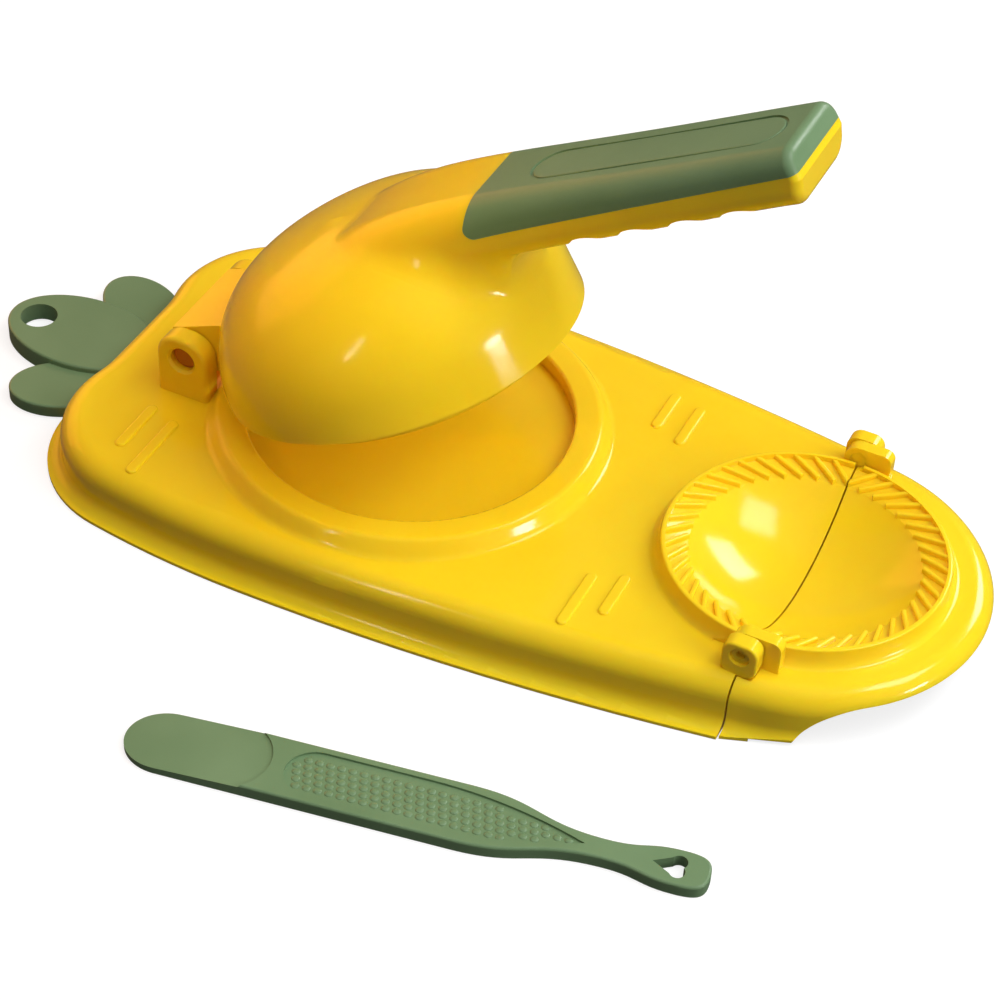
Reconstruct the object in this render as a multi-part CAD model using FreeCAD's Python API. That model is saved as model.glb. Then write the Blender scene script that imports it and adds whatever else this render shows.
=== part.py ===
import FreeCAD, Part
import math
import os

V = FreeCAD.Vector

# Dumpling press: a long shell with a round rolling well, a domed press on a hinge behind it,
# a fluted mould at the front whose outer half folds over, a leaf to hang it by and a spatula.
# Millimetres, +Z up, +X towards the mould. The origin is on the table under the well's axis.

# Shared walls and fits
wall = 2.2
running_clearance = 0.05
side_clearance = 0.4
seat_clearance = 0.2
soft_edge = 0.8
overrun = 20.0
touch = 0.01

# Round well in the deck, under the dome
well_r = 54.0
well_depth = 5.6
well_lip = 7.5
well_roll = 6.5
well_edge_r = 1.0

# Ribs under the well
support_r = 8.0
rib_inset = 14.0
rib_t = 2.0
rib_lift = 1.0
rib_count = 8

# Mould at the front
mould_rim_r = 45.6
mould_rise = 6.2
mould_flank = 3.0
mould_draft = 0.5
mould_crest = 1.5
mould_crest_r = 0.7
bowl_depth = 17.6
split_gap = 0.6
flute_band = 7.3
flute_outer_drop = 1.9
flute_inner_drop = 4.2
flute_top_drop = 0.2
flute_inner_rise = 1.7
flute_bite = 0.6
flute_count = 22
flute_width = 1.6
flute_round = 0.6
flute_lean = 46.0

# Base shell
base_top = 18.6
deck_side = 7.5
tip_deck = 11.9
mould_gap = 22.4
widest_x = -20.0
rear_flank_r = 340.0
rear_corner_r = 38.0
rear_length = 35.5
rear_dip = 2.0
rear_dip_half_width = 16.0
shoulder_r = 7.5
foot_flare = 5.0
foot_edge = 1.2
foot_r = 4.2

# Raised bars on the deck: place along X from the hinge or from the mould, distance from the middle, length
bar_width = 3.8
bar_height = 0.8
bar_round = 0.7
rear_bars = (
    (-5.0, -36.0, 19.0),
    (5.0, -39.5, 25.0),
)
front_bars = (
    (-55.5, -39.0, 21.5),
    (-46.0, -35.0, 15.5),
    (-67.0, 38.0, 15.5),
    (-57.0, 33.7, 17.2),
)

# Press hinge
hinge_gap = 4.0
hinge_z = 33.2
ear_half_length = 9.4
ear_rise = 8.6
ear_round_r = 8.0
ear_edge_r = 1.6
ear_inner_y = 18.4
ear_t = 6.6
press_pin_r = 4.3
press_pin_recess = 2.6
press_pin_length = 17.0
ear_mouth = 0.9
block_r = 9.0
block_back = 4.0

# Press dome, drawn shut
dome_over = 5.5
dome_height = 46.0
dome_x = -0.7
dome_tilt = 8.9
dome_side = 5.2
dome_crown_drop = 1.8
rim_gap = 0.4
photo_opening = 22.3

# Press plate under the dome
plate_gap = 1.2
plate_t = 2.4
plate_flange_t = 2.2
plate_flange_lift = 0.6
peg_r = 3.0
peg_length = 9.0
peg_inset = 14.8
peg_count = 4
peg_sleeve = 2.0

# Handle arm, drawn shut: place along X from the dome's side, top and underside from the dome's tipped
# crown line, half width and upper corner. The first stations are the root inside the dome.
arm_outline = (
    (-73.5, -5.0, -27.5, 27.0, 17.0),
    (-57.5, 0.7, -23.9, 28.0, 17.0),
    (-31.5, 3.6, -19.5, 23.8, 12.0),
    (-9.5, 3.4, -18.0, 20.4, 9.0),
    (15.5, 1.9, -18.3, 18.8, 7.5),
    (60.5, -1.1, -20.0, 18.0, 6.5),
    (102.5, -3.6, -21.7, 17.6, 6.0),
)
grip_station = 3
arm_end_trim = 0.5
arm_under_r = 7.0
neck_r = 14.0
arm_floor = 5.6
arm_end_lean = 2.0
arm_end_r = 3.0
scallop_r = 9.0
scallop_depth = 3.2
scallop_pitch = 17.0
scallop_first = 28.5
scallop_count = 4

# Green grip lid along the top of the handle
grip_front = -10.5
grip_front_drop = 11.0
grip_front_lean = 4.0
grip_front_r = 3.0
grip_end_drop = 6.8
grip_wall = 2.4
grip_lip = 1.2
grip_lip_depth = 2.5
panel_inset_front = 19.0
panel_inset_end = 9.0
panel_half_width = 8.6
panel_depth = 0.5

# Front tip that folds over
tip_foot_out = 5.5
tip_foot_in = 2.0
lip_start = 20.0
lip_bend = 26.5
lip_flat = 39.0
lip_drop = 4.6

# Fold hinge
fold_rise = 0.6
fold_ear_gap = 2.0
fold_ear_t = 5.2
fold_ear_half_length = 5.8
fold_ear_above = 4.9
fold_ear_below = 8.0
fold_ear_round = 4.0
lug_t = 4.2
lug_r = 4.8
lug_reach = 11.0
lug_round = 3.0
fold_pin_r = 2.6
fold_pin_recess = 1.2
fold_pin_mouth = 0.7
fold_pin_dimple_r = 1.5
fold_pin_dimple_depth = 1.6

# Leaf hanger, placed from the rear end of the base
leaf_bottom = 0.3
leaf_top = 6.9
leaf_reach = 20.5
leaf_half_length = 28.5
leaf_half_width = 18.2
lobe_top = 4.8
lobe_reach = 12.5
lobe_y = 25.5
lobe_half_length = 18.0
lobe_half_width = 12.2
lobe_turn = 152.0
leaf_root = 9.0
leaf_root_half_width = 27.0
leaf_root_top = 4.4
leaf_hole_inset = 10.5
leaf_hole_r = 6.4
tongue_half_width = 18.0
tongue_bottom = 1.6
tongue_top = 4.2
tongue_length = 10.5
tongue_hook = 1.4
tongue_hook_length = 3.0

# Spatula beside the press: its stations run from the blade's end or back from the hanging end
spatula_x = -16.7
spatula_gap = 73.6
spatula_turn = 9.66
spatula_length = 178.0
spatula_half_width = 11.2
spatula_t = 4.2
spatula_blade_t = 1.8
spatula_nose = 13.0
spatula_step = 0.5
spatula_step_x = 45.5
spatula_step_bow = 6.0
spatula_end = 9.0
spatula_end_half = 6.8
spatula_end_round_share = 0.78
spatula_neck = 31.0
spatula_neck_half = 3.8
spatula_shoulder = 43.0
panel_clear = 4.5
panel_margin = 2.3
panel_nose = 10.0
panel_taper = 12.0
panel_tail = 6.0
spatula_panel_depth = 0.8
heart_inset = 9.5
heart_lobe_r = 2.4
heart_lobe_y = 1.8
heart_length = 10.0
round_share = 0.5523

# Radii and places that several pieces share
well_rim_r = well_r + well_lip
well_foot_r = well_rim_r + well_roll
base_half_width = well_foot_r + deck_side
mould_foot_r = mould_rim_r + mould_flank
flute_outer_r = mould_rim_r - mould_crest
flute_inner_r = flute_outer_r - flute_band
tip_r = mould_foot_r + tip_deck
mould_x = well_foot_r + mould_gap + mould_foot_r
hinge_x = -well_foot_r - hinge_gap
rear_x = hinge_x - rear_length
fold_ear_inner_y = mould_foot_r + fold_ear_gap
leaf_x = rear_x - leaf_reach
leaf_root_x = rear_x - leaf_root
leaf_hole_x = leaf_x - leaf_half_length + leaf_hole_inset
dome_r = well_r + dome_over
plate_r = well_r - plate_gap

# Heights that several pieces share
well_rim_z = base_top + well_depth
mould_rim_z = base_top + mould_rise
dome_rim_z = well_rim_z + rim_gap
crown_z = dome_rim_z + dome_height
fold_z = mould_rim_z + fold_rise
plate_bottom = base_top + plate_gap
plate_seat = dome_rim_z + plate_flange_lift + plate_flange_t

# Stations of the handle arm in the part's own frame
crown_slope = math.tan(math.radians(dome_tilt))
arm_stations = []
for x, top, low, half, r in arm_outline:
    crown = crown_z + crown_slope * (dome_r + x)
    arm_stations.append((dome_r + x, crown + top, crown + low, half, r))
arm_end_x = arm_stations[-1][0] - arm_end_trim
grip_front_x = dome_r + grip_front
scallop_first_x = dome_r + scallop_first
up = V(0, 0, 1)


def turned(centre, radius, degrees):
    """A point at a radius and an angle about a centre in plan."""
    a = math.radians(degrees)
    return centre + V(radius * math.cos(a), radius * math.sin(a), 0)


def arc(centre, radius, start, end):
    """An arc in plan between two angles."""
    points = [turned(centre, radius, a) for a in (start, (start + end) / 2, end)]
    return Part.Arc(*points).toShape()


def bearing(vector):
    """The angle of a vector in plan, in degrees."""
    return math.degrees(math.atan2(vector.y, vector.x))


def line(start, end):
    """A straight edge."""
    return Part.LineSegment(start, end).toShape()


def bezier(*poles):
    """A curve drawn by its poles."""
    curve = Part.BezierCurve()
    curve.setPoles(list(poles))
    return curve.toShape()


def box(x0, x1, y0, y1, z0, z1):
    """A box between two corners."""
    return Part.makeBox(x1 - x0, y1 - y0, z1 - z0, V(x0, y0, z0))


def rod(start, end, radius):
    """A round bar between two points."""
    run = end - start
    return Part.makeCylinder(radius, run.Length, start, run)


def face_of(edges):
    """A flat face inside a chain of edges."""
    return Part.Face(Part.Wire(Part.sortEdges(edges)[0]))


def turned_solid(edges, axis_x):
    """A body of revolution about an upright axis."""
    return face_of(edges).revolve(V(axis_x, 0, 0), up, 360)


def polygon(points):
    """The edges of a closed run of points."""
    return [line(a, b) for a, b in zip(points, points[1:] + points[:1])]


def level_edges(shape, z):
    """The edges of a shape that lie flat at one height."""
    return [e for e in shape.Edges if abs(e.BoundBox.ZMin - z) < touch and abs(e.BoundBox.ZMax - z) < touch]


def mirrored(shape):
    """The same shape on the far side of the middle plane."""
    return shape.mirror(V(0, 0, 0), V(0, 1, 0))


def plan(grow):
    """Outline of the base pushed out by grow: round tip, long flanks, rear corners and a dip for the leaf."""
    run = mould_x - widest_x
    flank_r = (run ** 2 + base_half_width ** 2 - tip_r ** 2) / (2 * (base_half_width - tip_r))
    tip = V(mould_x, 0, 0)
    flank = V(widest_x, base_half_width - flank_r, 0)
    rear = V(widest_x, base_half_width - rear_flank_r, 0)
    corner_x = rear_x + rear_corner_r
    reach = rear_flank_r - rear_corner_r
    corner = V(corner_x, rear.y + math.sqrt(reach ** 2 - (corner_x - widest_x) ** 2), 0)
    dip_length = corner.y - rear_dip_half_width
    dip_r = (dip_length ** 2 + rear_dip ** 2) / (4 * rear_dip)
    dip_in = V(rear_x + dip_r, corner.y, 0)
    dip_out = V(rear_x + rear_dip - dip_r, rear_dip_half_width, 0)
    tip_end = bearing(tip - flank)
    corner_start = bearing(corner - rear)
    dip_turn = bearing(dip_in - dip_out)
    half = [
        arc(flank, flank_r + grow, tip_end, 90),
        arc(rear, rear_flank_r + grow, 90, corner_start),
        arc(corner, rear_corner_r + grow, corner_start, 180),
        arc(dip_in, dip_r + grow, 180, 180 + dip_turn),
        arc(dip_out, dip_r - grow, dip_turn, 0),
    ]
    dip_x = rear_x + rear_dip - grow
    back = line(V(dip_x, rear_dip_half_width, 0), V(dip_x, -rear_dip_half_width, 0))
    nose = arc(tip, tip_r + grow, -tip_end, tip_end)
    edges = [nose, back] + half + [mirrored(e) for e in half]
    return Part.Wire(Part.sortEdges(edges)[0])


def tray(grow, height, round_r):
    """The base's outer form: a rounded slab with a foot that flares out at the table."""
    outline = plan(grow)
    slab = Part.Face(outline).extrude(V(0, 0, height))
    slab = slab.makeFillet(round_r, level_edges(slab, height))
    foot = Part.Face(plan(grow + foot_flare)).extrude(V(0, 0, foot_edge))
    body = slab.fuse(foot).removeSplitter()
    joint_line = outline.translated(V(0, 0, foot_edge))
    inside = [e for e in level_edges(body, foot_edge) if joint_line.distToShape(e)[0] < touch]
    return body.makeFillet(foot_r, inside)


def well_ring():
    """The raised ring round the well, a soft roll outside and a crisp edge inside."""
    under = base_top - wall
    foot = V(well_foot_r, 0, base_top)
    crown = V(well_rim_r, 0, well_rim_z)
    pull = (well_foot_r - well_rim_r) / 2
    roll = bezier(foot, foot - V(pull, 0, 0), crown + V(pull, 0, 0), crown)
    edges = [
        roll,
        line(crown, V(well_r, 0, well_rim_z)),
        line(V(well_r, 0, well_rim_z), V(well_r, 0, under)),
        line(V(well_r, 0, under), V(well_foot_r, 0, under)),
        line(V(well_foot_r, 0, under), foot),
    ]
    ring = turned_solid(edges, 0)
    rim = [e for e in level_edges(ring, well_rim_z) if e.BoundBox.XMax < well_r + touch]
    ring = ring.makeFillet(well_edge_r, rim)
    hollow = Part.makeCylinder(well_rim_r - wall, well_rim_z - wall - under, V(0, 0, under))
    core = Part.makeCylinder(well_r + wall, well_rim_z - wall - under, V(0, 0, under))
    return ring.cut(hollow.cut(core))


def well_ribs():
    """Webs under the well that carry the pressing force to the table."""
    height = base_top - wall - rib_lift
    rib_ring_r = well_r - rib_inset
    ring = Part.makeCylinder(rib_ring_r + rib_t / 2, height, V(0, 0, rib_lift))
    ring = ring.cut(Part.makeCylinder(rib_ring_r - rib_t / 2, height, V(0, 0, rib_lift)))
    spoke = box(0, well_r, -rib_t / 2, rib_t / 2, rib_lift, base_top - wall)
    spokes = [spoke.rotated(V(0, 0, 0), up, 360 * i / rib_count) for i in range(rib_count)]
    post = Part.makeCylinder(support_r, base_top - wall, V(0, 0, 0))
    return post.fuse([ring] + spokes)


def deck_bar(x, y, length):
    """One raised bar on the deck, round at both ends, drawn outwards from the middle."""
    way = math.copysign(length, y)
    ends = (V(x, y, base_top - wall / 2), V(x, y + way, base_top - wall / 2))
    height = bar_height + wall / 2
    r = bar_width / 2
    bar = Part.makeCylinder(r, height, ends[0]).fuse(Part.makeCylinder(r, height, ends[1]))
    bar = bar.fuse(box(x - r, x + r, min(y, y + way), max(y, y + way), ends[0].z, ends[0].z + height))
    bar = bar.removeSplitter()
    return bar.makeFillet(bar_round, level_edges(bar, base_top + bar_height))


def press_ear():
    """The near ear of the press hinge, with its round top and pin hole."""
    top = hinge_z + ear_rise
    ear = box(hinge_x - ear_half_length, hinge_x + ear_half_length, -ear_inner_y - ear_t, -ear_inner_y,
              base_top - wall / 2, top)
    corners = [e for e in level_edges(ear, top) if e.BoundBox.XLength < touch]
    ear = ear.makeFillet(ear_round_r, corners)
    outside = [e for e in ear.Edges if e.BoundBox.YMax < -ear_inner_y - ear_t + touch]
    rounds = [e for e in outside if e.BoundBox.ZMax > base_top]
    return ear.makeFillet(ear_edge_r, rounds)


def press_ear_bore():
    """The near pin hole, opened at its mouth."""
    mouth = V(hinge_x, -ear_inner_y - ear_t, hinge_z)
    bore_r = press_pin_r + running_clearance
    hole = rod(mouth - V(0, overrun, 0), V(hinge_x, -ear_inner_y + side_clearance, hinge_z), bore_r)
    cone = Part.makeCone(bore_r, bore_r + ear_mouth, ear_mouth, mouth + V(0, ear_mouth, 0), V(0, -1, 0))
    return hole.fuse(cone)


def mould_body():
    """Ring and bowl of the mould as one solid of revolution, still filled up to its rim."""
    floor_z = mould_rim_z - bowl_depth
    inner = V(flute_inner_r, 0, mould_rim_z - flute_inner_drop)
    rise = inner.z - floor_z
    bowl_r = (flute_inner_r ** 2 + rise ** 2) / (2 * rise)
    centre = V(0, 0, floor_z + bowl_r)
    spread = math.asin(flute_inner_r / bowl_r)
    low = [centre + V(math.sin(a), 0, -math.cos(a)) * (bowl_r + wall) for a in (0, spread / 2, spread)]
    rim = V(mould_rim_r, 0, mould_rim_z)
    brow = rim - V(0, 0, mould_crest_r)
    crest = rim - V(mould_crest_r, 0, 0)
    foot = V(mould_foot_r, 0, base_top)
    under = [
        low[2],
        V(flute_outer_r, 0, mould_rim_z - flute_outer_drop - wall - wall),
        V(mould_foot_r - wall, 0, base_top - wall),
        V(mould_foot_r, 0, base_top - wall),
        foot,
    ]
    edges = [Part.Arc(*low).toShape()]
    edges += [line(a, b) for a, b in zip(under, under[1:])]
    edges += [
        bezier(foot, V(mould_rim_r + mould_draft, 0, base_top), brow),
        bezier(brow, rim, crest),
        line(crest, V(0, 0, mould_rim_z)),
        line(V(0, 0, mould_rim_z), low[0]),
    ]
    return turned_solid(edges, 0).translated(V(mould_x, 0, 0))


def mould_hollow():
    """What is open above the bowl and the fluted band."""
    floor_z = mould_rim_z - bowl_depth
    inner = V(flute_inner_r, 0, mould_rim_z - flute_inner_drop)
    rise = inner.z - floor_z
    bowl_r = (flute_inner_r ** 2 + rise ** 2) / (2 * rise)
    centre = V(0, 0, floor_z + bowl_r)
    spread = math.asin(flute_inner_r / bowl_r)
    curve = [centre + V(math.sin(a), 0, -math.cos(a)) * bowl_r for a in (0, spread / 2, spread)]
    outer = V(flute_outer_r, 0, mould_rim_z - flute_outer_drop)
    top = mould_rim_z + overrun
    edges = [
        Part.Arc(*curve).toShape(),
        line(curve[2], outer),
        line(outer, V(flute_outer_r, 0, top)),
        line(V(flute_outer_r, 0, top), V(0, 0, top)),
        line(V(0, 0, top), curve[0]),
    ]
    return turned_solid(edges, 0).translated(V(mould_x, 0, 0))


def flutes(side, half_space):
    """The slanting ribs of one mould half, cut to that half: side is 1 for the front and -1 for the rear."""
    middle = (flute_outer_r + flute_inner_r) / 2
    reach = flute_band / 2 / math.cos(math.radians(flute_lean))
    outer = middle + reach + flute_bite
    inner = middle - reach
    inner_z = mould_rim_z - flute_inner_drop
    profile = polygon([
        V(outer, 0, mould_rim_z - flute_top_drop),
        V(inner, 0, inner_z + flute_inner_rise),
        V(inner, 0, inner_z - flute_bite),
        V(outer, 0, mould_rim_z - flute_outer_drop - flute_bite),
    ])
    rib = face_of(profile).extrude(V(0, flute_width, 0)).translated(V(0, -flute_width / 2, 0))
    crest = [e for e in rib.Edges if e.BoundBox.YLength < touch and e.BoundBox.XLength > reach
             and e.BoundBox.ZMax > mould_rim_z - flute_outer_drop]
    rib = rib.makeFillet(flute_round, crest)
    rib = rib.rotated(V(middle, 0, 0), up, -flute_lean)
    step = 180 / flute_count
    row = [rib.rotated(V(0, 0, 0), up, step * (i + 1 / 2) - 90) for i in range(flute_count)]
    if side < 0:
        row = [r.mirror(V(0, 0, 0), V(1, 0, 0)) for r in row]
    return [r.translated(V(mould_x, 0, 0)).common(half_space) for r in row]


def fold_ear():
    """The near ear of the fold hinge, a rounded block that stands on the rear half."""
    y0 = -fold_ear_inner_y - fold_ear_t
    ear = box(mould_x - fold_ear_half_length, mould_x + fold_ear_half_length, y0, -fold_ear_inner_y,
              fold_z - fold_ear_below, fold_z + fold_ear_above)
    across = [e for e in ear.Edges if e.BoundBox.YLength > touch]
    ear = ear.makeFillet(fold_ear_round, across)
    rounds = [e for e in ear.Edges if e.BoundBox.YMax < y0 + touch]
    ear = ear.makeFillet(soft_edge, rounds)
    foot = box(mould_x - fold_ear_half_length, mould_x - split_gap / 2, y0 + soft_edge, -fold_ear_inner_y,
               base_top - wall, fold_z)
    return ear.fuse(foot)


def fold_ear_bore():
    """The near fold pin's hole with its sunk mouth."""
    y0 = -fold_ear_inner_y - fold_ear_t
    hole = rod(V(mould_x, y0 - overrun, fold_z), V(mould_x, -fold_ear_inner_y + side_clearance, fold_z),
               fold_pin_r + running_clearance)
    mouth = rod(V(mould_x, y0 - overrun, fold_z), V(mould_x, y0 + fold_pin_recess, fold_z),
                fold_pin_r + fold_pin_mouth)
    return hole.fuse(mouth)


def fold_lug():
    """The near lug of the folding half: a plate round the pin that runs forward into the deck."""
    y0 = -fold_ear_inner_y + side_clearance
    top = fold_z + lug_r
    plate = box(mould_x, mould_x + lug_reach, y0, y0 + lug_t, base_top - wall, top)
    front = [e for e in level_edges(plate, top) if e.BoundBox.XMin > mould_x + touch
             and e.BoundBox.XLength < touch]
    plate = plate.makeFillet(lug_round, front)
    return plate.fuse(rod(V(mould_x, y0, fold_z), V(mould_x, y0 + lug_t, fold_z), lug_r))


def fold_lug_room():
    """The slot behind the near lug, where its front part comes down when the tip is folded over."""
    y0 = -fold_ear_inner_y + side_clearance
    return box(mould_x - lug_reach - 2 * side_clearance, mould_x, y0 - side_clearance,
               y0 + lug_t + side_clearance, base_top, mould_rim_z + overrun)


def fold_sweep():
    """Room that the near fold ear needs in the half that swings round it."""
    corner = math.hypot(fold_ear_half_length - fold_ear_round, fold_ear_below - fold_ear_round)
    return rod(V(mould_x, -fold_ear_inner_y - fold_ear_t - side_clearance, fold_z),
               V(mould_x, -fold_ear_inner_y + side_clearance / 2, fold_z),
               corner + fold_ear_round + side_clearance)


def lip_cut():
    """What is cut away under the tip, so that a finger can lift it."""
    far = mould_x + tip_r + foot_flare + overrun
    lip_z = base_top - lip_drop
    start = V(mould_x + lip_start, 0, 0)
    flat = V(mould_x + lip_flat, 0, lip_z)
    edges = [
        bezier(start, V(mould_x + lip_bend, 0, lip_z), flat),
        line(flat, V(far, 0, lip_z)),
        line(V(far, 0, lip_z), V(far, 0, -overrun)),
        line(V(far, 0, -overrun), start - V(0, 0, overrun)),
        line(start - V(0, 0, overrun), start),
    ]
    reach = tip_r + foot_flare + overrun
    return face_of(edges).extrude(V(0, 2 * reach, 0)).translated(V(0, -reach, 0))


def tip_foot_cut():
    """Takes the near flare off the foot of the tip, little by little towards the lip."""
    side = tip_r + tip_foot_out
    fall = (tip_foot_out + tip_foot_in) / lip_start
    far = tip_r + overrun
    points = [
        V(mould_x, -side, 0),
        V(mould_x + far, -side + fall * far, 0),
        V(mould_x + far, -side - overrun, 0),
        V(mould_x, -side - overrun, 0),
    ]
    return face_of(polygon(points)).extrude(V(0, 0, foot_edge + foot_r))


def tongue(room):
    """The leaf's tongue, or the slot it goes through."""
    return box(leaf_root_x, rear_x + tongue_length, -tongue_half_width - room, tongue_half_width + room,
               tongue_bottom - room, tongue_top + room)


def shells():
    """The base shell and the folding mould, split from one form at the mould's middle."""
    outer = tray(0, base_top, shoulder_r)
    inner = tray(-wall, base_top - wall, shoulder_r - wall)
    reach = base_half_width + foot_flare + overrun
    ceiling = base_top + overrun
    half_gap = split_gap / 2
    end_walls = outer.common(box(mould_x - half_gap - wall, mould_x + half_gap + wall, -reach, reach,
                                 -overrun, ceiling))
    form = outer.cut(inner).fuse([end_walls, mould_body()]).cut(mould_hollow())
    behind = box(rear_x - overrun - foot_flare, mould_x - half_gap, -reach, reach, -overrun, ceiling)
    ahead = box(mould_x + half_gap, mould_x + tip_r + foot_flare + overrun, -reach, reach, -overrun, ceiling)
    near_lug = fold_lug()
    lug_room = fold_lug_room()
    fold_bore = rod(V(mould_x, -reach, fold_z), V(mould_x, reach, fold_z), fold_pin_r + running_clearance)

    ear = press_ear()
    additions = [well_ring(), well_ribs(), ear, mirrored(ear), fold_ear(), mirrored(fold_ear())]
    additions += [deck_bar(hinge_x + x, y, length) for x, y, length in rear_bars]
    additions += [deck_bar(mould_x + x, y, length) for x, y, length in front_bars]
    base = form.common(behind).fuse(flutes(-1, behind)).fuse(additions)
    base = base.cut([lug_room, mirrored(lug_room), press_ear_bore(), mirrored(press_ear_bore()),
                     fold_ear_bore(), mirrored(fold_ear_bore()), tongue(seat_clearance)])

    front = form.common(ahead).cut([lip_cut(), tip_foot_cut(), mirrored(tip_foot_cut())])
    front = front.cut([fold_sweep(), mirrored(fold_sweep())])
    front = front.fuse(flutes(1, ahead)).fuse([near_lug, mirrored(near_lug)])
    front = front.cut([mould_hollow_above_lugs(), fold_bore])
    return base.removeSplitter(), front.removeSplitter()


def mould_hollow_above_lugs():
    """Keeps the lugs out of the bowl."""
    return Part.makeCylinder(flute_outer_r, overrun, V(mould_x, 0, mould_rim_z))


def dome_form(inset):
    """The press dome drawn shut: straight foot, round shoulder and flat crown, tipped with the handle."""
    rise = dome_height - dome_side
    dome_shoulder_r = rise - dome_crown_drop
    span = dome_r - dome_shoulder_r
    crown_r = (span ** 2 + rise ** 2 - dome_shoulder_r ** 2) / (2 * dome_crown_drop)
    shoulder = V(span, 0, dome_side)
    crown = V(0, 0, dome_height - crown_r)
    join = math.atan2(crown_r - rise, span)

    def on(centre, radius, a):
        return centre + V(math.cos(a), 0, math.sin(a)) * (radius - inset)

    foot = V(dome_r - inset, 0, -overrun)
    top = V(0, 0, dome_height - inset)
    bend = [on(shoulder, dome_shoulder_r, a) for a in (0, join / 2, join)]
    edges = [
        line(foot, bend[0]),
        Part.Arc(*bend).toShape(),
        Part.Arc(on(crown, crown_r, join), on(crown, crown_r, join / 2 + math.pi / 4), top).toShape(),
        line(top, V(0, 0, -overrun)),
        line(V(0, 0, -overrun), foot),
    ]
    form = turned_solid(edges, 0)
    return form.rotated(V(0, 0, 0), V(0, 1, 0), -dome_tilt).translated(V(dome_x, 0, dome_rim_z))


def over_rim(z):
    """Everything over a height, wide enough for the whole press."""
    reach = arm_stations[-1][0] + overrun
    return box(-reach, reach, -reach, reach, z, z + reach)


def arm_section(station, side_inset, top_inset, floor_inset):
    """One section of the handle arm: a box with round corners."""
    x, top, low, half, upper_r = station
    top -= top_inset
    low += floor_inset
    half -= side_inset
    tr = upper_r - min(side_inset, upper_r / 2)
    lr = arm_under_r - min(side_inset, arm_under_r / 2)
    diagonal = math.sqrt(1 / 2)

    def corner(y, z, way_y, way_z, r):
        centre = V(x, y - way_y * r, z - way_z * r)
        middle = centre + V(0, way_y * r * diagonal, way_z * r * diagonal)
        ends = (centre + V(0, way_y * r, 0), centre + V(0, 0, way_z * r))
        return ends, middle

    a, am = corner(half, top, 1, 1, tr)
    b, bm = corner(-half, top, -1, 1, tr)
    c, cm = corner(-half, low, -1, -1, lr)
    d, dm = corner(half, low, 1, -1, lr)
    edges = [
        Part.Arc(a[0], am, a[1]).toShape(),
        line(a[1], b[1]),
        Part.Arc(b[1], bm, b[0]).toShape(),
        line(b[0], c[0]),
        Part.Arc(c[0], cm, c[1]).toShape(),
        line(c[1], d[1]),
        Part.Arc(d[1], dm, d[0]).toShape(),
        line(d[0], a[0]),
    ]
    return Part.Wire(edges)


def arm_form(stations, side_inset, top_inset, floor_inset):
    """The handle arm lofted through its stations."""
    return Part.makeLoft([arm_section(s, side_inset, top_inset, floor_inset) for s in stations], True, False)


def arm_slope():
    """The rise of the handle's top line for each millimetre along X."""
    first, last = arm_stations[grip_station], arm_stations[-1]
    return (last[1] - first[1]) / (last[0] - first[0])


def above_parting(deeper):
    """Everything over the lid's parting plane, or a little deeper, from the grip's front to past its end."""
    slope = arm_slope()
    first, last = arm_stations[grip_station], arm_stations[-1]
    front = V(grip_front_x, 0, first[1] + slope * (grip_front_x - first[0]) - grip_front_drop - deeper)
    end = V(last[0], 0, last[1] - grip_end_drop - deeper)
    past = end + (end - front) * (overrun / (end.x - front.x))
    rise = V(0, 0, dome_height)
    lean = V(grip_front_lean * (dome_height / grip_front_drop), 0, 0)
    half = arm_stations[0][3] + overrun
    points = [front, past, past + rise, front + rise + lean]
    zone = face_of(polygon(points)).extrude(V(0, 2 * half, 0)).translated(V(0, -half, 0))
    low = [e for e in zone.Edges if e.BoundBox.ZMax < front.z + touch and e.BoundBox.XMax < front.x + touch]
    return zone.makeFillet(grip_front_r, low)


def whole_arm():
    """The handle arm as one body, its end cut to a blunt wedge with soft edges."""
    x = arm_end_x
    top, low, half = arm_stations[-1][1:4]
    reach = half + overrun
    ridge = (top + low) / 2
    lean = arm_end_lean / (top - ridge)
    cut = polygon([
        V(x, 0, ridge),
        V(x - lean * (top + overrun - ridge), 0, top + overrun),
        V(x + overrun, 0, top + overrun),
        V(x + overrun, 0, low - overrun),
        V(x - lean * (ridge - low + overrun), 0, low - overrun),
    ])
    arm = arm_form(arm_stations, 0, 0, 0)
    arm = arm.cut(face_of(cut).extrude(V(0, 2 * reach, 0)).translated(V(0, -reach, 0)))
    end = [e for e in arm.Edges if e.BoundBox.XMin > x - 2 * arm_end_lean - touch]
    rim = [e for e in end if e.BoundBox.ZLength > touch or abs(e.BoundBox.ZMin - ridge) > touch]
    return arm.makeFillet(arm_end_r, rim)


def scallops():
    """Finger hollows along the underside of the handle."""
    first, last = arm_stations[grip_station + 1], arm_stations[-1]
    slope = (last[2] - first[2]) / (last[0] - first[0])
    reach = first[3] + overrun
    cuts = []
    for i in range(scallop_count):
        x = scallop_first_x + scallop_pitch * i
        low = first[2] + slope * (x - first[0])
        centre = V(x, -reach, low + scallop_depth - scallop_r)
        cuts.append(rod(centre, centre + V(0, 2 * reach, 0), scallop_r))
    return cuts


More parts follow.
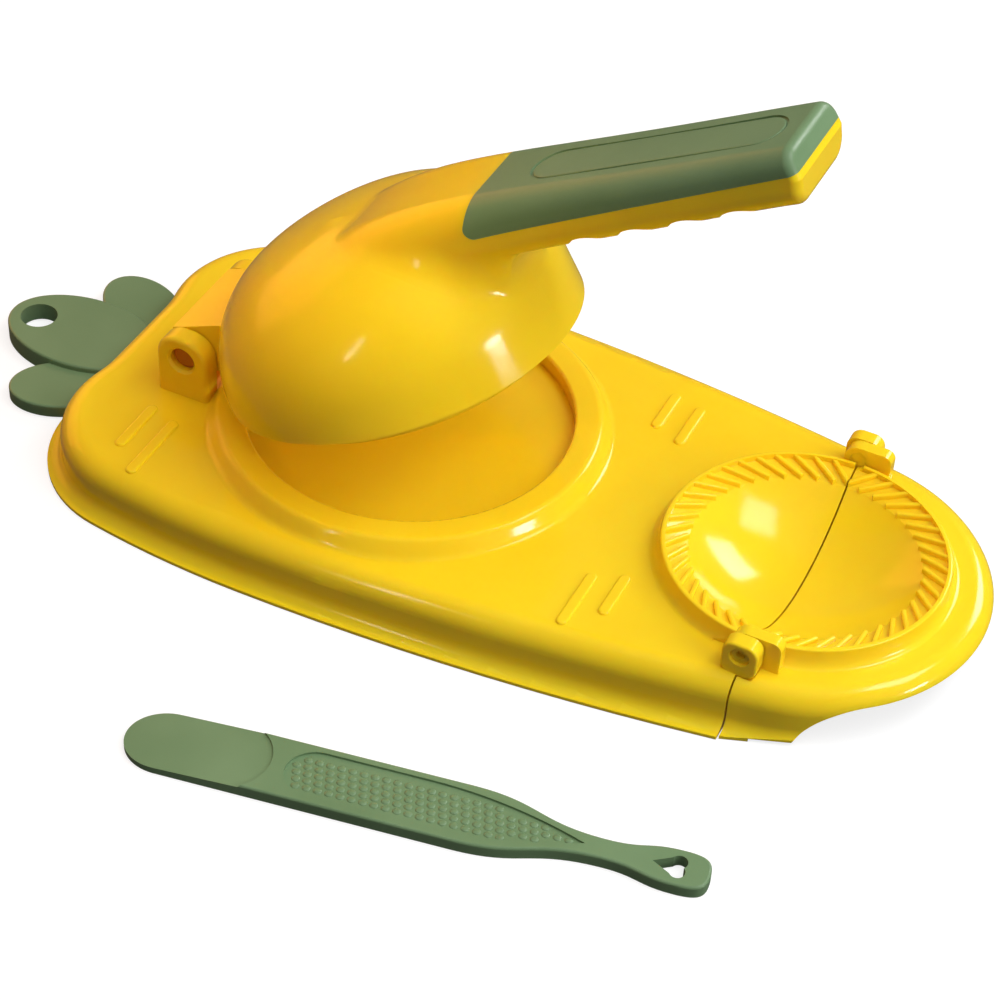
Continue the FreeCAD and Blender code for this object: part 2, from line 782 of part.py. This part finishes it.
def grip_panel():
    """The long round-ended hollow along the top of the grip."""
    slope = arm_slope()
    first = arm_stations[grip_station]
    x0 = grip_front_x + panel_inset_front + panel_half_width
    x1 = arm_stations[-1][0] - panel_inset_end - panel_half_width
    a = V(x0, 0, first[1] + slope * (x0 - first[0]) - panel_depth)
    b = V(x1, 0, first[1] + slope * (x1 - first[0]) - panel_depth)
    run = b - a
    normal = V(-run.z, 0, run.x).normalize()
    across = V(0, panel_half_width, 0)
    along = V(run.x, run.y, run.z).normalize() * panel_half_width
    edges = [
        line(a + across, b + across),
        Part.Arc(b + across, b + along, b - across).toShape(),
        line(b - across, a - across),
        Part.Arc(a - across, a - along, a + across).toShape(),
    ]
    return face_of(edges).extrude(normal * overrun)


def press_form(dome, arm):
    """Dome and arm as one body, blended where they meet."""
    form = dome.fuse(arm).removeSplitter()
    meeting = []
    for edge in form.Edges:
        middle = Part.Vertex(edge.valueAt((edge.FirstParameter + edge.LastParameter) / 2))
        gaps = [piece.Shells[0].distToShape(middle)[0] for piece in (dome, arm)]
        if max(gaps) < 2 * touch:
            meeting.append(edge)
    return form.makeFillet(neck_r, meeting)


def peg_places():
    """Where the plate's pegs stand, at the height of the plate's seat."""
    at = V(0, 0, plate_seat)
    return [turned(at, plate_r - peg_inset, 360 * (i + 1 / 2) / peg_count) for i in range(peg_count)]


def press_pieces():
    """The press drawn shut: the dome with its arm, and the grip lid."""
    outer = dome_form(0)
    inner = dome_form(wall)
    form = press_form(outer, whole_arm())
    lid_zone = above_parting(0)
    reach = arm_stations[0][3] + overrun
    pocket_start = grip_front_x + grip_wall
    pocket_end = arm_stations[-1][0] - arm_end_lean - arm_end_r - grip_wall
    ceiling = dome_rim_z + 2 * dome_height

    def pocket_form(inset):
        form = arm_form(arm_stations[grip_station:], grip_wall + inset, grip_wall, arm_floor)
        return form.common(box(pocket_start + inset, pocket_end - inset, -reach, reach, 0, ceiling))

    pocket = pocket_form(0)
    block_half = ear_inner_y - side_clearance
    knuckle = rod(V(hinge_x, -block_half, hinge_z), V(hinge_x, block_half, hinge_z), block_r)
    block = box(hinge_x - block_back, dome_x, -block_half, block_half, hinge_z, hinge_z + block_r)
    bridge = box(hinge_x, dome_x, -block_half, block_half, dome_rim_z + rim_gap, hinge_z)
    hinge = knuckle.fuse([block, bridge]).cut(inner)
    sleeves = []
    for place in peg_places():
        sleeve = Part.makeCylinder(peg_r + peg_sleeve, dome_height, place).common(outer)
        hole = Part.makeCylinder(peg_r + running_clearance, peg_length + seat_clearance, place)
        sleeves.append(sleeve.cut(hole))
    shell = form.cut(inner).common(over_rim(dome_rim_z)).cut([lid_zone, pocket] + scallops())
    dome = shell.fuse([hinge] + sleeves)
    pin_room = press_pin_room()
    dome = dome.cut([pin_room, mirrored(pin_room)]).removeSplitter()

    lip = pocket_form(seat_clearance).cut(pocket_form(seat_clearance + grip_lip))
    lip = lip.common(above_parting(grip_lip_depth))
    lid = form.common(lid_zone).cut([pocket, grip_panel()]).fuse(lip).removeSplitter()
    return dome, lid


def pin_inner_y():
    """Where the near press pin ends inside the hinge block."""
    return -ear_inner_y - ear_t + press_pin_recess + press_pin_length


def press_pin_room():
    """The near pin's blind hole in the hinge block."""
    return rod(V(hinge_x, -ear_inner_y, hinge_z), V(hinge_x, pin_inner_y() + seat_clearance, hinge_z),
               press_pin_r + running_clearance)


def press_pin():
    """The near stub pin of the press hinge."""
    end = V(hinge_x, pin_inner_y(), hinge_z)
    pin = rod(end - V(0, press_pin_length, 0), end, press_pin_r)
    return pin.makeChamfer(soft_edge / 2, pin.Edges[0:1] + pin.Edges[2:3])


def fold_pin():
    """The near pin of the fold hinge, with a dimple in its outer end."""
    start = V(mould_x, -fold_ear_inner_y - fold_ear_t + fold_pin_recess, fold_z)
    end = V(mould_x, -fold_ear_inner_y + side_clearance + lug_t, fold_z)
    dimple = rod(start, start + V(0, fold_pin_dimple_depth, 0), fold_pin_dimple_r)
    return rod(start, end, fold_pin_r).cut(dimple)


def press_plate():
    """The pad under the dome, a shallow cup with pegs that push into it."""
    pad = Part.makeCylinder(plate_r, plate_seat - plate_bottom, V(0, 0, plate_bottom))
    pad = pad.makeFillet(soft_edge, level_edges(pad, plate_bottom))
    floor = plate_bottom + plate_t
    pad = pad.cut(Part.makeCylinder(plate_r - wall, overrun, V(0, 0, floor)))
    flange = dome_form(wall + seat_clearance).common(over_rim(plate_seat - plate_flange_t))
    cup = Part.makeCylinder(plate_r - wall, dome_height, V(0, 0, floor))
    flange = flange.cut([over_rim(plate_seat), cup])
    posts = []
    for place in peg_places():
        foot = V(place.x, place.y, floor - touch)
        posts.append(Part.makeCylinder(peg_r + peg_sleeve, plate_seat - foot.z, foot))
        posts.append(Part.makeCylinder(peg_r, peg_length, place - V(0, 0, touch)))
    return pad.fuse([flange] + posts).removeSplitter()


def bulge(start, end, corner, share):
    """A curve from one point to another that bulges a share of the way to the corner."""
    return bezier(start, start + (corner - start) * share, end + (corner - end) * share, end)


def quarter(start, end, corner):
    """A quarter of an oval from one point to another, bulging to the corner."""
    return bulge(start, end, corner, round_share)


def oval(centre, half_length, half_width, turn, bottom, top):
    """An upright oval block with a soft upper edge."""
    ends = [V(half_length, 0, 0), V(0, half_width, 0), V(-half_length, 0, 0), V(0, -half_width, 0)]
    ring = [quarter(a, b, a + b) for a, b in zip(ends, ends[1:] + ends[:1])]
    block = face_of(ring).extrude(V(0, 0, top - bottom))
    block = block.makeFillet(soft_edge, level_edges(block, top - bottom))
    return block.rotated(V(0, 0, 0), up, turn).translated(centre + V(0, 0, bottom))


def leaf_hanger():
    """Three leaves in one piece behind the base, with a hole to hang it by and a tongue that clips in."""
    leaf = oval(V(leaf_x, 0, 0), leaf_half_length, leaf_half_width, 180, leaf_bottom, leaf_top)
    lobe_centre = V(rear_x - lobe_reach, lobe_y, 0)
    lobe = oval(lobe_centre, lobe_half_length, lobe_half_width, lobe_turn, leaf_bottom, lobe_top)
    root = box(leaf_root_x, rear_x + rear_dip, -leaf_root_half_width, leaf_root_half_width,
               leaf_bottom, leaf_root_top)
    body = leaf.fuse([lobe, mirrored(lobe), root]).cut(tray(seat_clearance, base_top, shoulder_r))
    tongue_end = rear_x + tongue_length
    hook = box(tongue_end - tongue_hook_length, tongue_end, -tongue_half_width, tongue_half_width,
               tongue_top, tongue_top + tongue_hook)
    body = body.fuse([tongue(0), hook])
    hole = Part.makeCylinder(leaf_hole_r, overrun, V(leaf_hole_x, 0, leaf_bottom))
    return body.cut(hole).removeSplitter()


def sway(start, end):
    """A soft change of width between two points, straight along X at both."""
    middle = (start.x + end.x) / 2
    return bezier(start, V(middle, start.y, 0), V(middle, end.y, 0), end)


def both_sides(edges):
    """A face inside a half outline and its reflection."""
    return face_of(edges + [mirrored(e) for e in edges])


def spatula():
    """The filling spatula, lying flat with its blade to the left."""
    half = spatula_half_width
    nose = V(spatula_nose, half, 0)
    neck = V(spatula_length - spatula_neck, spatula_neck_half, 0)
    shoulder = V(neck.x - spatula_shoulder, half, 0)
    end = V(spatula_length - spatula_end, spatula_end_half, 0)
    tip = V(spatula_length, 0, 0)
    corner = V(spatula_length, spatula_end_half, 0)
    side = [
        quarter(V(0, 0, 0), nose, V(0, half, 0)),
        line(nose, shoulder),
        sway(shoulder, neck),
        sway(neck, end),
        bulge(end, tip, corner, spatula_end_round_share),
    ]
    body = both_sides(side).extrude(V(0, 0, spatula_t))
    body = body.makeFillet(soft_edge, level_edges(body, spatula_t))

    reach = spatula_half_width + overrun
    low = spatula_t - spatula_step
    wedge = polygon([V(-overrun, 0, spatula_blade_t), V(0, 0, spatula_blade_t), V(spatula_step_x, 0, low),
                     V(spatula_step_x, 0, low + overrun), V(-overrun, 0, low + overrun)])
    wedge = face_of(wedge).extrude(V(0, 2 * reach, 0)).translated(V(0, -reach, 0))
    bow_r = (spatula_half_width ** 2 + spatula_step_bow ** 2) / (2 * spatula_step_bow)
    bow = Part.makeCylinder(bow_r, 2 * overrun, V(spatula_step_x - bow_r, 0, 0))
    behind = box(-overrun, spatula_step_x - spatula_step_bow, -reach, reach, 0, 2 * overrun)
    body = body.cut(wedge.common(bow.fuse(behind)))

    wide = spatula_half_width - panel_margin
    start = V(spatula_step_x + panel_clear, 0, 0)
    front = V(start.x + panel_nose, wide, 0)
    back = V(shoulder.x - panel_taper, wide, 0)
    tail = V(neck.x - panel_tail, 0, 0)
    panel = [
        quarter(start, front, V(start.x, wide, 0)),
        line(front, back),
        bezier(back, V((back.x + tail.x) / 2, wide, 0), tail),
    ]
    floor = V(0, 0, spatula_t - spatula_panel_depth)
    body = body.cut(both_sides(panel).extrude(V(0, 0, overrun)).translated(floor))

    heart_x = spatula_length - heart_inset
    lobe = Part.makeCylinder(heart_lobe_r, overrun, V(heart_x, heart_lobe_y, 0))
    point = V(heart_x + heart_lobe_r - heart_length, 0, 0)
    half = heart_lobe_y + heart_lobe_r
    wings = face_of(polygon([point, V(heart_x, half, 0), V(heart_x, -half, 0)])).extrude(V(0, 0, overrun))
    body = body.cut([lobe, mirrored(lobe), wings])
    place = V(spatula_x, -base_half_width - spatula_gap, 0)
    return body.rotated(V(0, 0, 0), up, spatula_turn).translated(place)


def opened(shape):
    """Swings a piece of the press from shut to the opening it stands at."""
    return shape.rotated(V(hinge_x, 0, hinge_z), V(0, -1, 0), photo_opening)


if __name__ == "__main__":
    os.makedirs("parts", exist_ok=True)
    base, front = shells()
    dome, lid = press_pieces()
    pieces = {
        "base_shell": base,
        "leaf_hanger": leaf_hanger(),
        "press_hinge_pin_near": press_pin(),
        "press_hinge_pin_far": mirrored(press_pin()),
        "press_dome": opened(dome),
        "press_plate": opened(press_plate()),
        "handle_grip": opened(lid),
        "folding_mould": front,
        "fold_hinge_pin_near": fold_pin(),
        "fold_hinge_pin_far": mirrored(fold_pin()),
        "spatula": spatula(),
    }
    for name, shape in pieces.items():
        shape.exportStep("parts/%s.step" % name)
        box_of = shape.BoundBox
        print(name, len(shape.Solids), round(shape.Volume), shape.isValid(), len(shape.Faces), box_of)
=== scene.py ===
import bpy
from math import cos, pi, radians, sin
from mathutils import Matrix, Vector


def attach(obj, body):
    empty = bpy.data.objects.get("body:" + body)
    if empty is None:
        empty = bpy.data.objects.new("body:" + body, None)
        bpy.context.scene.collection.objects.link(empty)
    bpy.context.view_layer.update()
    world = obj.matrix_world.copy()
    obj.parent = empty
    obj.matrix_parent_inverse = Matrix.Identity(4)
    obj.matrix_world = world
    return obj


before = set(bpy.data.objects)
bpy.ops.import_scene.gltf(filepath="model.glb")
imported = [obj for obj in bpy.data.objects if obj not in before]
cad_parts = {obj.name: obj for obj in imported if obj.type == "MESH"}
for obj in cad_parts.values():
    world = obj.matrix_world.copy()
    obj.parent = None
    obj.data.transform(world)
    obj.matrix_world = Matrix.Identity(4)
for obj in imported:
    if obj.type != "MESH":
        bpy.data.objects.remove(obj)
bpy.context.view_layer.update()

# Base shell: the long flat tray that carries the round well, the rear half of the mould and both hinges.
# Injection-moulded polypropylene about 2 mm thick, open underneath, standing on the edge of its side wall.


def linear(code):
    """The linear colour of an sRGB hex code."""
    parts = [int(code[i:i + 2], 16) / 255 for i in (1, 3, 5)]
    return [c / 12.92 if c <= 0.04045 else ((c + 0.055) / 1.055) ** 2.4 for c in parts] + [1.0]


def per_metre(millimetres):
    """The texture scale that gives a pattern one feature in this many millimetres."""
    return 1000 / millimetres


def add(tree, kind, settings, sockets):
    """Adds a node, sets its own settings, then sets or links its input sockets."""
    made = tree.nodes.new("ShaderNode" + kind)
    for key, value in settings.items():
        setattr(made, key, value)
    for key, value in sockets.items():
        if isinstance(value, bpy.types.NodeSocket):
            tree.links.new(value, made.inputs[key])
        else:
            made.inputs[key].default_value = value
    return made


def blank_material(name):
    """A new material with no nodes yet, and its node tree."""
    material = bpy.data.materials.new(name)
    material.use_nodes = True
    material.node_tree.nodes.clear()
    return material, material.node_tree


def finish_in(material, *nodes):
    """Puts a material in every slot of the named CAD nodes."""
    for node in nodes:
        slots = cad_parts[node].data.materials
        slots.clear()
        slots.append(material)


# Glossy polypropylene from a polished mould: a deep warm yellow with a clear, slightly wavy reflection,
# a little light carried through the thin wall, and faint flow clouds left by the melt.
yellow_polypropylene, tree = blank_material("glossy_yellow_polypropylene")
place = add(tree, "TexCoord", {}, {}).outputs["Object"]
flow = add(tree, "TexNoise", {}, {"Vector": place, "Scale": per_metre(55), "Detail": 3.0, "Roughness": 0.5})
clouds = add(tree, "MapRange", {}, {"Value": flow.outputs["Fac"], "From Min": 0.3, "From Max": 0.7})
colour = add(tree, "ValToRGB", {}, {"Fac": clouds.outputs["Result"]})
colour.color_ramp.elements[0].color = linear("#F6CC1A")
colour.color_ramp.elements[1].color = linear("#FCD424")
polish = add(tree, "TexNoise", {}, {"Vector": place, "Scale": per_metre(9), "Detail": 4.0, "Roughness": 0.6})
gloss = add(tree, "MapRange", {}, {"Value": polish.outputs["Fac"], "From Min": 0.3, "From Max": 0.7,
                                   "To Min": 0.1, "To Max": 0.16})
peel = add(tree, "TexNoise", {}, {"Vector": place, "Scale": per_metre(6), "Detail": 2.0, "Roughness": 0.4})
wave = add(tree, "Bump", {}, {"Height": peel.outputs["Fac"], "Strength": 0.06, "Distance": 0.0004})
surface = add(tree, "BsdfPrincipled", {}, {"Base Color": colour.outputs["Color"], "IOR": 1.49,
                                           "Roughness": gloss.outputs["Result"],
                                           "Subsurface Weight": 0.4, "Subsurface Scale": 0.004,
                                           "Subsurface Radius": (1.0, 0.6, 0.1),
                                           "Normal": wave.outputs["Normal"]})
add(tree, "OutputMaterial", {}, {"Surface": surface.outputs["BSDF"]})
finish_in(yellow_polypropylene, "base_shell")

# Leaf hanger: three flat leaves in one piece, plugged into the rear end of the base by a tongue.
# Moulded from the satin green plastic of the grip; the round hole hangs the press on a hook.

# Satin polypropylene from a finely blasted mould: a dull sage green with a broad soft sheen.
# The grit is drawn coarser than the real one, so that it shows.
green_polypropylene, tree = blank_material("satin_green_polypropylene")
place = add(tree, "TexCoord", {}, {}).outputs["Object"]
flow = add(tree, "TexNoise", {}, {"Vector": place, "Scale": per_metre(40), "Detail": 3.0, "Roughness": 0.5})
clouds = add(tree, "MapRange", {}, {"Value": flow.outputs["Fac"], "From Min": 0.3, "From Max": 0.7})
colour = add(tree, "ValToRGB", {}, {"Fac": clouds.outputs["Result"]})
colour.color_ramp.elements[0].color = linear("#68845E")
colour.color_ramp.elements[1].color = linear("#728E68")
grit = add(tree, "TexNoise", {}, {"Vector": place, "Scale": per_metre(0.7), "Detail": 2.0, "Roughness": 0.6})
gloss = add(tree, "MapRange", {}, {"Value": flow.outputs["Fac"], "From Min": 0.3, "From Max": 0.7,
                                   "To Min": 0.32, "To Max": 0.42})
grain = add(tree, "Bump", {}, {"Height": grit.outputs["Fac"], "Strength": 0.12, "Distance": 0.0002})
surface = add(tree, "BsdfPrincipled", {}, {"Base Color": colour.outputs["Color"], "IOR": 1.49,
                                           "Roughness": gloss.outputs["Result"],
                                           "Normal": grain.outputs["Normal"]})
add(tree, "OutputMaterial", {}, {"Surface": surface.outputs["BSDF"]})
finish_in(green_polypropylene, "leaf_hanger")

# Hinge pins: two short stubs for the press and two for the folding tip, pushed into the ears of the base.
# The press turns on plain plastic rod set back in its holes; the pins of the tip are moulded like the base.

# Painted shade for the press pins: a brownish amber darker than the yellow, standing for their deep shaded
# holes, with a dull cut face and marks drawn coarse enough to show.
painted_hole_shade_amber, tree = blank_material("painted_hole_shade_amber")
place = add(tree, "TexCoord", {}, {}).outputs["Object"]
cut = add(tree, "TexNoise", {}, {"Vector": place, "Scale": per_metre(1.2), "Detail": 3.0, "Roughness": 0.6})
colour = add(tree, "ValToRGB", {}, {"Fac": cut.outputs["Fac"]})
colour.color_ramp.elements[0].color = linear("#B8660D")
colour.color_ramp.elements[1].color = linear("#CC760F")
marks = add(tree, "Bump", {}, {"Height": cut.outputs["Fac"], "Strength": 0.2, "Distance": 0.0002})
surface = add(tree, "BsdfPrincipled", {}, {"Base Color": colour.outputs["Color"], "IOR": 1.48,
                                           "Roughness": 0.5,
                                           "Normal": marks.outputs["Normal"]})
add(tree, "OutputMaterial", {}, {"Surface": surface.outputs["BSDF"]})
# The press pins carry the painted shade of their deep holes; the pins of the tip stay plain yellow.
finish_in(painted_hole_shade_amber, "press_hinge_pin_near", "press_hinge_pin_far")
finish_in(yellow_polypropylene, "fold_hinge_pin_near", "fold_hinge_pin_far")

# Press dome: the domed lid with the hinge block behind and the hollow arm of the handle in front, one piece.
# Polished yellow polypropylene with a wide fillet where the arm grows out of the crown.
finish_in(yellow_polypropylene, "press_dome")

# Press plate: the flat round plate that closes the dome from below, held in it by four pegs.
# Yellow polypropylene like the shell around it.
finish_in(yellow_polypropylene, "press_plate")

# Handle grip: the green lid of the arm, held by a lip that presses into the channel.
# Satin polypropylene, with a long shallow panel sunk in its top.
finish_in(green_polypropylene, "handle_grip")

# Panel face of the grip: the flat middle of the sunk panel, moulded with the lid, straight with round ends.
# A fine groove is left all round it, which draws the outline of the panel.
panel_rear = Vector((0.04627, 0, 0.13643))
panel_front = Vector((0.10658, 0, 0.16806))
panel_radius = 0.0077
panel_sink = 0.0001
panel_profile = ((0, -panel_sink), (0, 0.0003), (0.0001, 0.0004), (0.0003, 0.00048), (0.0006, 0.0005))
panel_arc_steps = 24


def mesh_piece(name, points, faces, flat_corners, material):
    """A new piece in one material, smooth but for its faces with this many corners or more."""
    mesh = bpy.data.meshes.new(name)
    mesh.from_pydata(points, [], faces)
    mesh.polygons.foreach_set("use_smooth", [len(face) < flat_corners for face in faces])
    mesh.materials.append(material)
    piece = bpy.data.objects.new(name, mesh)
    bpy.context.scene.collection.objects.link(piece)
    return piece


panel_along = (panel_front - panel_rear).normalized()
panel_up = panel_along.cross(Vector((0, 1, 0)))
points, faces = [], []
for inset, height in panel_profile:
    for centre, start in ((panel_front, -pi / 2), (panel_rear, pi / 2)):
        for step in range(panel_arc_steps + 1):
            turn = start + pi * step / panel_arc_steps
            spread = panel_along * cos(turn) + Vector((0, sin(turn), 0))
            points.append(centre + spread * (panel_radius - inset) + panel_up * height)
panel_count = len(points) // len(panel_profile)
for ring in range(len(panel_profile) - 1):
    for side in range(panel_count):
        after = (side + 1) % panel_count
        low, high = ring * panel_count, (ring + 1) * panel_count
        faces.append((low + side, low + after, high + after, high + side))
faces.append(tuple(reversed(range(panel_count))))
faces.append(tuple(range(len(points) - panel_count, len(points))))
grip_panel_face = mesh_piece("grip_panel_face", points, faces, panel_count, green_polypropylene)
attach(grip_panel_face, "press")

# Folding mould: the tip of the base with the front half of the fluted mould, on two lugs by the fold ears.
# Moulded by itself in the same polished yellow as the base.
finish_in(yellow_polypropylene, "folding_mould")

# Filling spatula: a flat green blade with a teardrop hollow in its handle and a small heart-shaped hole.
# It lies loose on the table in front of the press.
finish_in(green_polypropylene, "spatula")

# Grip bumps of the spatula: rows of small domes moulded on the floor of the teardrop hollow, for the thumb.
# The hollow runs from a round nose to a point, and the bumps stop short of its edge.
blade_end = Vector((-0.0167, -0.1491, 0))
spatula_turn = radians(9.66)
hollow_start, hollow_nose, hollow_taper, hollow_tail = 0.05, 0.06, 0.092, 0.141
hollow_half_width = 0.0089
hollow_floor = 0.0034
bump_rx, bump_ry, bump_height, bump_sink = 0.00135, 0.00122, 0.0003, 0.0002
bump_column_pitch, bump_row_pitch = 0.00345, 0.0026
bump_lean_share = 0.29
bump_margin = 0.0013
bump_sides, bump_rings = 12, 3


def hollow_half(x):
    """Half the width of the teardrop hollow at a distance from the blade's end."""
    if x < hollow_nose:
        share = (hollow_nose - x) / (hollow_nose - hollow_start)
        return hollow_half_width * max(0.0, 1 - share ** 2) ** 0.5
    share = max(0.0, x - hollow_taper) / (hollow_tail - hollow_taper)
    return hollow_half_width * (1 - share ** 2)


along = Vector((cos(spatula_turn), sin(spatula_turn), 0))
sideways = Vector((-sin(spatula_turn), cos(spatula_turn), 0))
points, faces = [], []
columns = int((hollow_tail - hollow_start) / bump_column_pitch) + 2
rows = int(hollow_half_width / bump_row_pitch) + 1
for column in range(columns):
    for row in range(-rows, rows + 1):
        y = bump_row_pitch * row
        x = hollow_start + bump_column_pitch * column - bump_lean_share * y
        if not hollow_start < x < hollow_tail or abs(y) > hollow_half(x) - bump_margin:
            continue
        centre = blade_end + along * x + sideways * y + Vector((0, 0, hollow_floor))
        first = len(points)
        points.append(centre + Vector((0, 0, bump_height)))
        for ring in range(1, bump_rings + 2):
            tilt = min(ring, bump_rings) / bump_rings * pi / 2
            drop = -bump_sink if ring > bump_rings else bump_height * cos(tilt)
            for side in range(bump_sides):
                turn = 2 * pi * side / bump_sides
                spread = along * (bump_rx * cos(turn)) + sideways * (bump_ry * sin(turn))
                points.append(centre + spread * sin(tilt) + Vector((0, 0, drop)))
        for side in range(bump_sides):
            after = (side + 1) % bump_sides
            faces.append((first, first + 1 + side, first + 1 + after))
            for ring in range(bump_rings):
                near = first + 1 + ring * bump_sides
                far = near + bump_sides
                faces.append((near + side, far + side, far + after, near + after))
        last = first + 1 + bump_rings * bump_sides
        faces.append(tuple(last + side for side in reversed(range(bump_sides))))
spatula_grip_bumps = mesh_piece("spatula_grip_bumps", points, faces, bump_sides, green_polypropylene)
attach(spatula_grip_bumps, "spatula")

# Floor: a plain white table top that keeps the soft shadow of the press. It is white to the eye and through
# clear things, faint in the gloss, and dark to the light it would throw back on the plastic.
table_half_width, table_drop = 30, 0.0002
table_glow, table_gloss_share = 0.76, 0.08


def white_to_the_eye(tree, gloss_share):
    """Two sockets that are 1 on camera and transmission rays, the second with a share on glossy rays too."""
    path = add(tree, "LightPath", {}, {})
    seen = add(tree, "Math", {"operation": "MAXIMUM"}, {0: path.outputs["Is Camera Ray"],
                                                        1: path.outputs["Is Transmission Ray"]})
    mirrored = add(tree, "Math", {"operation": "MULTIPLY"}, {0: path.outputs["Is Glossy Ray"],
                                                             1: gloss_share})
    shown = add(tree, "Math", {"operation": "MAXIMUM"}, {0: seen.outputs[0], 1: mirrored.outputs[0]})
    return seen.outputs[0], shown.outputs[0]


white_table, tree = blank_material("white_laminate")
seen, shown = white_to_the_eye(tree, table_gloss_share)
glow = add(tree, "Math", {"operation": "MULTIPLY"}, {0: shown, 1: table_glow})
light = add(tree, "Emission", {}, {"Color": linear("#FFFFFF"), "Strength": glow.outputs[0]})
shade = add(tree, "MixRGB", {}, {"Fac": seen, "Color1": linear("#3C3C3C"), "Color2": linear("#989898")})
paint = add(tree, "BsdfDiffuse", {}, {"Color": shade.outputs[0]})
both = add(tree, "AddShader", {}, {0: light.outputs[0], 1: paint.outputs[0]})
add(tree, "OutputMaterial", {}, {"Surface": both.outputs[0]})
corners = [(x * table_half_width, y * table_half_width, 0) for x, y in ((-1, -1), (1, -1), (1, 1), (-1, 1))]
table_top = mesh_piece("table_top", corners, [(0, 1, 2, 3)], len(corners), white_table)
table_top.location.z = -table_drop

# Studio light: large soft boxes above, on the right and on the left, which stay out of the gloss, a warm one
# low behind on the left, and small bright ones whose mirror images are the highlights.
# A weak gridded one lifts the shaded front of the dome.


def soft_box(name, place, aim, width, height, power, tint, in_gloss):
    """A rectangular lamp that faces a point, with or without its mirror image in the gloss."""
    lamp = bpy.data.lights.new(name, "AREA")
    lamp.shape = "RECTANGLE"
    lamp.size = width
    lamp.size_y = height
    lamp.energy = power
    lamp.color = linear(tint)[:3]
    holder = bpy.data.objects.new(name, lamp)
    bpy.context.scene.collection.objects.link(holder)
    holder.location = place
    holder.rotation_euler = (Vector(aim) - Vector(place)).to_track_quat("-Z", "Y").to_euler()
    holder.visible_glossy = in_gloss
    return lamp


soft_box("overhead_soft_box", (0.3, -0.1, 1.3), (0.05, 0.0, 0.03), 1.2, 1.2, 11, "#FFFFFF", False)
soft_box("right_soft_box", (1.3, -0.1, 0.75), (0.05, 0.0, 0.05), 1.2, 0.9, 9, "#FFFFFF", False)
soft_box("left_soft_box", (-0.9, -0.3, 0.8), (0.0, 0.0, 0.08), 0.9, 0.7, 1.4, "#FFC864", False)
soft_box("key_soft_box", (0.71, 0.28, 1.15), (0.05, 0.0, 0.03), 0.45, 0.45, 3.4, "#FFFFFF", True)
soft_box("rear_soft_box", (-1.1, 0.35, 0.42), (0.0, 0.0, 0.08), 1.1, 0.7, 5.5, "#FF9E38", True)
soft_box("rear_window", (0.55, 1.1, 0.75), (0.1, 0.0, 0.15), 0.5, 0.4, 5, "#FFFFFF", True)
soft_box("window_pane", (1.2, -0.05, 0.35), (0.04, -0.025, 0.08), 0.24, 0.13, 1.9, "#FFFFFF", True)
soft_box("front_strip", (-0.28, -1.05, 0.76), (0.0, -0.05, 0.08), 0.035, 0.4, 0.5, "#FFFFFF", True)
dome_fill = soft_box("gridded_front_box", (-0.25, -0.9, 0.55), (0.0, -0.02, 0.11), 0.1, 0.1, 0.022,
                     "#FFD070", False)
dome_fill.spread = radians(14)

# Room: white behind the press, faint in the gloss, with a little even light from all sides.
# Colours are shown as they are, without a film look.
room_gloss_share, room_light = 0.12, 0.06
room = bpy.data.worlds.new("pale_room")
room.use_nodes = True
tree = room.node_tree
tree.nodes.clear()
shown = white_to_the_eye(tree, room_gloss_share)[1]
strength = add(tree, "Math", {"operation": "MAXIMUM"}, {0: shown, 1: room_light})
back = add(tree, "Background", {}, {"Color": linear("#FFFFFF"), "Strength": strength.outputs[0]})
add(tree, "OutputWorld", {}, {"Surface": back.outputs[0]})
bpy.context.scene.world = room
bpy.context.scene.view_settings.view_transform = "Standard"

# Camera: in front and to the right of the press, looking down on it, with a slight roll as in the photograph.
# A long lens on a full-frame film, aimed at the table, a little towards the tip from the middle of the well.
yaw, pitch, roll = radians(23.98), radians(42.0), radians(3.28)
aim_point = Vector((0.03447, -0.00155, 0))
camera_distance = 0.8566
film_width, lens_length = 36, 93.6
backward = Vector((sin(yaw) * cos(pitch), -cos(yaw) * cos(pitch), sin(pitch)))
level = Vector((cos(yaw), sin(yaw), 0))
upright = backward.cross(level)
across = level * cos(roll) + upright * sin(roll)
above = upright * cos(roll) - level * sin(roll)
lens = bpy.data.cameras.new("studio_camera")
lens.sensor_width = film_width
lens.lens = lens_length
lens.clip_start = 0.01
lens.clip_end = 20
camera = bpy.data.objects.new("studio_camera", lens)
bpy.context.scene.collection.objects.link(camera)
facing = Matrix((across, above, backward)).transposed().to_4x4()
camera.matrix_world = Matrix.Translation(aim_point + backward * camera_distance) @ facing
bpy.context.scene.camera = camera
